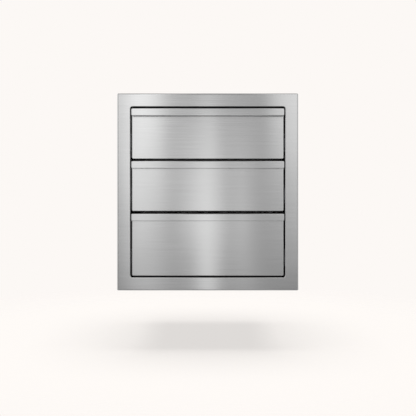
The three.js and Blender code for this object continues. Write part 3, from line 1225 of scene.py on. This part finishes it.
@dataclass
class Studio:
    """Camera, pale floor and soft light.

    The steel mirrors what stands behind the camera, so the room has soft upright cards there. Their light
    differs above and below the horizon, and round them the room is plain. The camera is level and stands
    higher than the middle of the unit, so its lens is shifted down. The room's horizon lies under the
    camera's level, by an angle whose sine is horizon_drop, so its image falls low on the middle front.
    """

    backdrop: str = "#fcf8f5"
    distance: float = 2.4
    eye_height: float = 320 * MM
    eye_side: float = 0.7 * MM
    sensor_in_mm: float = 36.0
    lens_in_mm: float = 78.02
    shift_share: float = -0.0959
    horizon_drop: float = 0.044
    floor_height: float = -172 * MM
    floor_centre: float = 230 * MM
    floor_full: float = 0.62
    floor_gone: float = 1.15
    floor_sides: int = 96
    floor_glow: float = 0.69
    floor_albedo: str = "#63615f"
    sun_strength: float = 6.3
    sun_spread: float = math.radians(50)
    sun_lean: float = math.radians(0.5)
    horizon_blur: float = 0.13
    floor_light: float = 0.6
    floor_from: float = -0.3
    floor_to: float = -0.6
    ceiling_share: float = 0.4
    ceiling_from: float = 0.5
    ceiling_to: float = 0.9
    room_light: str = "#ffffff"
    cards: tuple[Glow, ...] = (
        Glow(-20, 0.6, 0.45, 0.3),
        Glow(-11, 0.95, 0.6, 0.3),
        Glow(-7.5, 1.05, 0.65, 0.2),
        Glow(-6, 1.1, 0.65, 0.1),
        Glow(-4.6, 1.55, 1.3, 0.3),
        Glow(-3.5, 1.55, 1.0, 0.45),
        Glow(-2.3, 0.7, 0.8, 0.3),
        Glow(-1.1, 0.55, 1.3, 0.1),
        Glow(0, 0.75, 1.65, 0.85),
        Glow(1.1, 0.65, 0.85, 0.25),
        Glow(2.2, 0.5, 1.15, 0.3),
        Glow(3.4, 0.55, 0.65, 0.3),
        Glow(4.6, 1.15, 0.65, 0.25),
        Glow(6, 1.4, 0.85, 0.1),
        Glow(7.5, 1.2, 0.7, 0.15),
        Glow(11, 0.95, 0.6, 0.3),
        Glow(20, 0.6, 0.45, 0.3),
    )
    walls: tuple[Glow, ...] = (
        Glow(-180, 0.9, 0.8, 0.55),
        Glow(-140, 1.45, 1.2, 0.7),
        Glow(-100, 0.75, 0.65, 0.45),
        Glow(-60, 1.5, 1.2, 0.7),
        Glow(-40, 0.6, 0.45, 0.3),
        Glow(-20, 0.6, 0.45, 0.3),
        Glow(20, 0.6, 0.45, 0.3),
        Glow(40, 0.6, 0.45, 0.3),
        Glow(60, 1.3, 1.0, 0.65),
        Glow(100, 0.7, 0.6, 0.4),
        Glow(140, 1.3, 1.1, 0.6),
        Glow(180, 0.9, 0.8, 0.55),
    )

    def camera(self) -> None:
        """Places the camera level, square to the fronts."""
        data = bpy.data.cameras.new("camera")
        data.sensor_width = self.sensor_in_mm
        data.lens = self.lens_in_mm
        data.shift_y = self.shift_share
        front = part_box("face_frame")[0].y
        made = placed("camera", data, (self.eye_side, front - self.distance, self.eye_height))
        made.rotation_euler = (math.pi / 2, 0.0, 0.0)
        bpy.context.scene.camera = made

    def ring_light(self, tree: Tree, turn: Node, aside: Node, height: str) -> Node:
        """Light all round at one height: the cards, and the walls on either side of them.

        Args:
            tree: The world's node tree.
            turn: Azimuth of a direction, as radians from the one straight back to the camera.
            aside: 1 where the direction misses the cards, else 0.
            height: Name of the glows' field for the height.

        Returns:
            The light's strength.
        """
        lights = []
        for glows in (self.cards, self.walls):
            strengths = [getattr(glow, height) for glow in glows]
            full = max(strengths)
            widest = math.radians(glows[-1].degrees)
            span = {"Value": turn, "From Min": -widest, "From Max": widest}
            ramp = add_node(tree, "ShaderNodeValToRGB", {0: add_node(tree, "ShaderNodeMapRange", span)})
            stops = ramp.color_ramp.elements
            while len(stops) < len(glows):
                stops.new(0.5)
            for stop, glow, strength in zip(stops, glows, strengths):
                grey = strength / full
                stop.position = (math.radians(glow.degrees) / widest + 1) / 2
                stop.color = (grey, grey, grey, 1.0)
            lights.append(add_node(tree, "ShaderNodeMath", {0: ramp, 1: full}, operation="MULTIPLY"))
        return add_node(tree, "ShaderNodeMix", {0: aside, 2: lights[0], 3: lights[1]})

    def room(self, tree: Tree) -> Node:
        """Light of the room by direction: the cards, the walls on either side, the floor and the ceiling.

        Args:
            tree: The world's node tree.

        Returns:
            The light's strength.
        """
        direction = add_node(tree, "ShaderNodeTexCoord").outputs["Generated"]
        x, y, up = add_node(tree, "ShaderNodeSeparateXYZ", {0: direction}).outputs
        z = add_node(tree, "ShaderNodeMath", {0: up, 1: self.horizon_drop}, operation="ADD")
        back = add_node(tree, "ShaderNodeMath", {0: y, 1: -1.0}, operation="MULTIPLY")
        turn = add_node(tree, "ShaderNodeMath", {0: x, 1: back}, operation="ARCTAN2")
        off = add_node(tree, "ShaderNodeMath", {0: turn}, operation="ABSOLUTE")
        reach = math.radians(self.cards[-1].degrees)
        aside = add_node(tree, "ShaderNodeMath", {0: off, 1: reach}, operation="GREATER_THAN")
        heights = ("below", "level", "above")
        light, level, above = (self.ring_light(tree, turn, aside, height) for height in heights)
        for start, end, following in (
            (-self.horizon_blur, 0.0, level),
            (0.0, self.horizon_blur, above),
            (self.floor_from, self.floor_to, self.floor_light),
        ):
            span = {"Value": z, "From Min": start, "From Max": end}
            share = add_node(tree, "ShaderNodeMapRange", span, interpolation_type="SMOOTHSTEP")
            light = add_node(tree, "ShaderNodeMix", {0: share, 2: light, 3: following})
        high = {"Value": z, "From Min": self.ceiling_from, "From Max": self.ceiling_to}
        high |= {"To Min": 1.0, "To Max": self.ceiling_share}
        share = add_node(tree, "ShaderNodeMapRange", high, interpolation_type="SMOOTHSTEP")
        return add_node(tree, "ShaderNodeMath", {0: light, 1: share}, operation="MULTIPLY")

    def world(self) -> None:
        """Pale backdrop for the camera, and the room for everything else."""
        world = bpy.data.worlds.new("studio")
        bpy.context.scene.world = world
        tree = blank_tree(world)
        light = {"Color": linear(self.room_light), "Strength": self.room(tree)}
        room = add_node(tree, "ShaderNodeBackground", light)
        plain = add_node(tree, "ShaderNodeBackground", {"Color": linear(self.backdrop)})
        seen = add_node(tree, "ShaderNodeLightPath").outputs["Is Camera Ray"]
        both = add_node(tree, "ShaderNodeMixShader", {0: seen, 1: room, 2: plain})
        add_node(tree, "ShaderNodeOutputWorld", {"Surface": both})

    def floor(self) -> None:
        """Pale floor that fades into the backdrop, and takes the unit's soft shadow."""
        shape = bmesh.new()
        bmesh.ops.create_circle(shape, cap_ends=True, segments=self.floor_sides, radius=self.floor_gone)
        made = placed("floor", meshed(shape, "floor"), (0.0, self.floor_centre, self.floor_height))
        made.visible_glossy = False
        material = bpy.data.materials.new("matt_pale_floor")
        tree = blank_tree(material)
        place = add_node(tree, "ShaderNodeTexCoord").outputs["Object"]
        radius = add_node(tree, "ShaderNodeVectorMath", {0: place}, operation="LENGTH").outputs["Value"]
        span = {"Value": radius, "From Min": self.floor_full, "From Max": self.floor_gone}
        fade = add_node(tree, "ShaderNodeMapRange", span, interpolation_type="SMOOTHSTEP")
        light = {"Color": linear(self.backdrop), "Strength": self.floor_glow}
        glow = add_node(tree, "ShaderNodeEmission", light)
        matt = add_node(tree, "ShaderNodeBsdfDiffuse", {"Color": linear(self.floor_albedo)})
        lit = add_node(tree, "ShaderNodeAddShader", {0: glow, 1: matt})
        clear = add_node(tree, "ShaderNodeBsdfTransparent")
        seen = add_node(tree, "ShaderNodeMixShader", {0: fade, 1: lit, 2: clear})
        add_node(tree, "ShaderNodeOutputMaterial", {"Surface": seen})
        made.data.materials.append(material)

    def overhead(self) -> None:
        """Wide soft light from above, which throws the shadow and isn't mirrored."""
        data = bpy.data.lights.new("overhead", "SUN")
        data.energy = self.sun_strength
        data.angle = self.sun_spread
        made = placed("overhead", data)
        made.rotation_euler = (self.sun_lean, 0.0, 0.0)
        made.visible_glossy = False

    def build(self) -> None:
        """Builds the studio."""
        bpy.context.scene.view_settings.view_transform = "Standard"
        self.camera()
        self.world()
        self.floor()
        self.overhead()


def main() -> None:
    """Builds the studio and all sub-assemblies."""
    logging.basicConfig(level=logging.INFO, format="%(name)s: %(message)s")
    Studio().build()
    heights = []
    for level in Level:
        low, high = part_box(f"{level.value}_left_cabinet_rail")
        # Each wall screw sits one rail's height over the middle of a slide.
        heights.append((low.z + high.z) / 2 + (high.z - low.z))
    FaceFrame(heights).build()
    Housing(heights).build()
    for level in Level:
        DrawerFront(level).build()
        LipHandle(level).build()
        DrawerBox(level).build()
        for side in Side:
            Slide(level, side).build()


if __name__ == "__main__":
    main()
